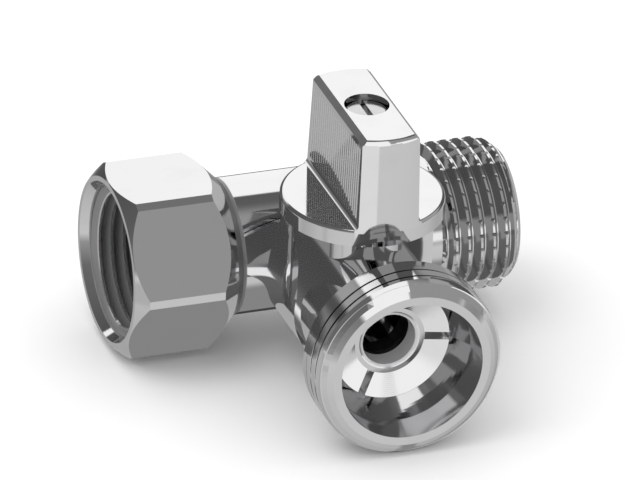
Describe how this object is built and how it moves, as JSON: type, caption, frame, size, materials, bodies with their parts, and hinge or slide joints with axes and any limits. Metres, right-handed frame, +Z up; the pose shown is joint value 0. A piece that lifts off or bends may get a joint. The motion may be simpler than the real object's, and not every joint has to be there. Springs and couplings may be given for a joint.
{
  "type": "washing machine valve",
  "caption": "Tee valve with a quarter-turn ball: hexagonal female end, male end and a forward hose outlet, worked by a flat ribbed knob.",
  "frame": {"origin": "in the middle of the female thread, on the axis of the run, where the valve is joined to its supply", "axes": "X along the run towards the male end, -Y along the branch out of the hose outlet, Z up towards the knob"},
  "size_m": [0.057, 0.0538, 0.0429],
  "materials": {
    "chromed_body": "polished chrome plate on brass",
    "chromed_ball": "polished chrome plate on brass",
    "black_seat": "smooth",
    "plated_retainer": "bright plate on brass",
    "rubber_ring": "moulded",
    "bare_brass": "turned",
    "white_washer": "smooth",
    "chromed_knob": "polished chrome plate",
    "steel_screw": "bright"
  },
  "bodies": {
    "fixed": {"body": "chromed_body", "rear_seat": "black_seat", "front_seat": "black_seat", "retainer": "plated_retainer", "retainer_o_ring": "rubber_ring", "stem_thrust_washer": "white_washer"},
    "turning": {"knob": "chromed_knob", "knob_screw": "steel_screw", "stem": "bare_brass", "stem_o_ring_lower": "rubber_ring", "stem_o_ring_upper": "rubber_ring", "ball": "chromed_ball"}
  },
  "joints": [
    {"name": "knob_turn", "type": "hinge", "parent": "fixed", "child": "turning", "pos_m": [0.02412, -0.0184, 0], "axis": [0, 0, 1], "range_deg": [-90, 0]}
  ]
}
